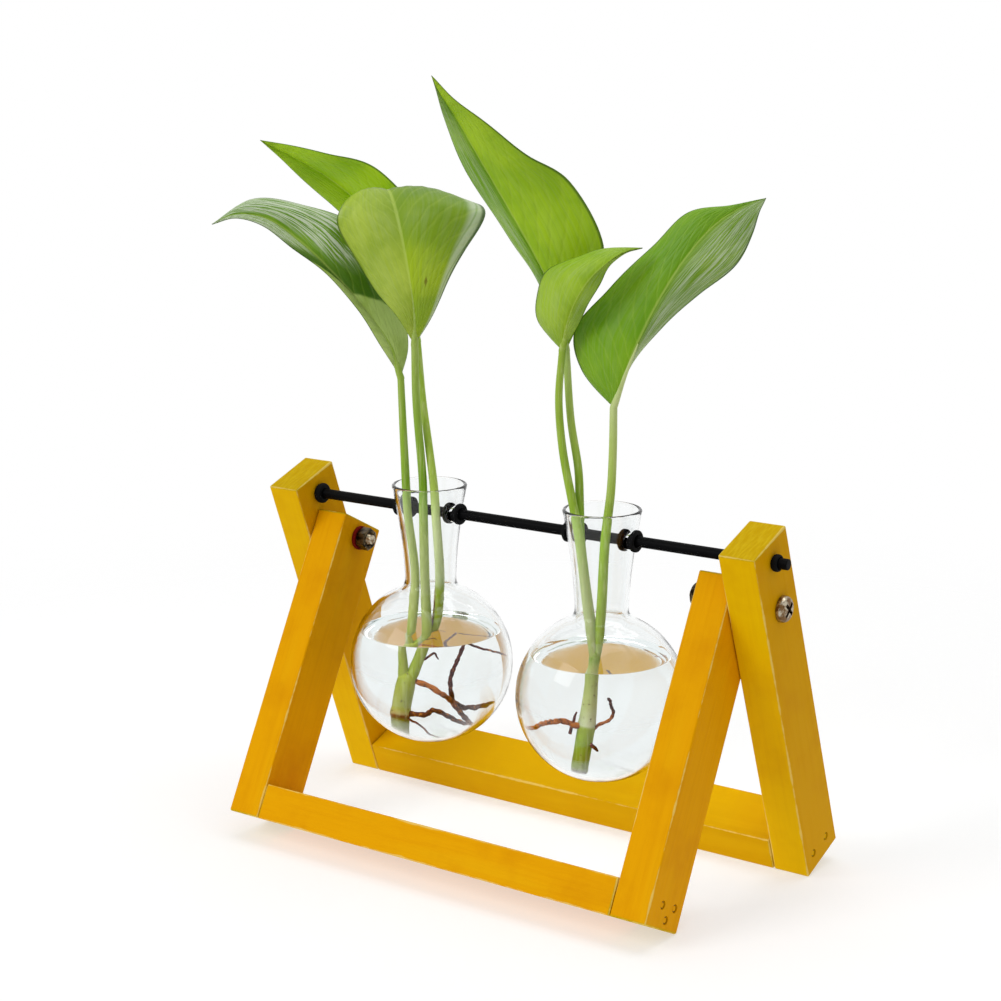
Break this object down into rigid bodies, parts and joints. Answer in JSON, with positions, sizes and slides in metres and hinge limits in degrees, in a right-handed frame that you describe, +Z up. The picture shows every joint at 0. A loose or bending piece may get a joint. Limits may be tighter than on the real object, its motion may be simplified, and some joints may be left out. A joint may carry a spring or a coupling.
{
  "type": "hydroponic vase",
  "caption": "Folding wooden stand with a rod that carries two glass bulb vases, each with a rooted leafy cutting.",
  "frame": {"origin": "on the table, at the middle of the overall box: midway between the front and rear feet and between the two sides", "axes": "+X along the hanging rod to the right as seen from the front, -Y the front (the side of the inner frame), +Z up"},
  "size_m": [0.2896, 0.1444, 0.3668],
  "materials": {
    "outer_wood": "yellow stain with a satin lacquer",
    "inner_wood": "orange-yellow stain with a satin lacquer",
    "rod": "black semi-gloss paint on a steel rod",
    "rubber": "black soft rubber",
    "plated_steel": "zinc plated, lightly worn",
    "fibre": "dark red fibre",
    "nail_steel": "dull steel, browned",
    "glass": "clear, thin, mouth-blown",
    "leaf": "fresh green leaf, soft sheen",
    "stalk": "pale green, soft sheen",
    "crown": "pale stem under water, browned at the cut",
    "root": "red-brown, wet"
  },
  "bodies": {
    "outer_frame": {"left_outer_leg": "outer_wood", "right_outer_leg": "outer_wood", "rear_rail": "outer_wood", "left_rear_nail_1": "nail_steel", "left_rear_nail_2": "nail_steel", "right_rear_nail_1": "nail_steel", "right_rear_nail_2": "nail_steel", "hanging_rod": "rod", "left_inner_rod_ring": "rubber", "left_outer_rod_ring": "rubber", "right_inner_rod_ring": "rubber", "right_outer_rod_ring": "rubber", "left_pivot_bolt": "plated_steel", "left_pivot_washer": "fibre", "left_pivot_nut": "plated_steel", "right_pivot_bolt": "plated_steel", "right_pivot_washer": "fibre", "right_pivot_nut": "plated_steel"},
    "inner_frame": {"left_inner_leg": "inner_wood", "right_inner_leg": "inner_wood", "front_rail": "inner_wood", "left_front_nail_1": "nail_steel", "left_front_nail_2": "nail_steel", "left_front_nail_3": "nail_steel", "right_front_nail_1": "nail_steel", "right_front_nail_2": "nail_steel", "right_front_nail_3": "nail_steel"},
    "left_grommets": {"left_vase_left_grommet": "rubber", "left_vase_right_grommet": "rubber"},
    "right_grommets": {"right_vase_left_grommet": "rubber", "right_vase_right_grommet": "rubber"},
    "left_vase": {"left_glass_vase": "glass", "left_plant_crown": "crown", "left_plant_stalk_1": "stalk", "left_plant_stalk_2": "stalk", "left_plant_stalk_3": "stalk", "left_plant_leaf_1": "leaf", "left_plant_leaf_2": "leaf", "left_plant_leaf_3": "leaf", "left_plant_root_1": "root", "left_plant_root_2": "root", "left_plant_root_3": "root"},
    "right_vase": {"right_glass_vase": "glass", "right_plant_crown": "crown", "right_plant_stalk_1": "stalk", "right_plant_stalk_2": "stalk", "right_plant_stalk_3": "stalk", "right_plant_leaf_1": "leaf", "right_plant_leaf_2": "leaf", "right_plant_leaf_3": "leaf", "right_plant_root_1": "root", "right_plant_root_2": "root"}
  },
  "joints": [
    {"name": "inner_frame_fold", "type": "hinge", "parent": "outer_frame", "child": "inner_frame", "pos_m": [0, 0.00965, 0.13757], "axis": [1, 0, 0], "range_deg": [-20, 33]},
    {"name": "left_vase_slide", "type": "slide", "parent": "outer_frame", "child": "left_grommets", "axis": [1, 0, 0], "range_m": [-0.01, 0.005]},
    {"name": "right_vase_slide", "type": "slide", "parent": "outer_frame", "child": "right_grommets", "axis": [1, 0, 0], "range_m": [-0.005, 0.01]},
    {"name": "left_vase_swing", "type": "hinge", "parent": "left_grommets", "child": "left_vase", "pos_m": [-0.0495, 0.00141, 0.16011], "axis": [1, 0, 0], "range_deg": [-60, 60]},
    {"name": "right_vase_swing", "type": "hinge", "parent": "right_grommets", "child": "right_vase", "pos_m": [0.0495, 0.00141, 0.16011], "axis": [1, 0, 0], "range_deg": [-60, 60]}
  ]
}
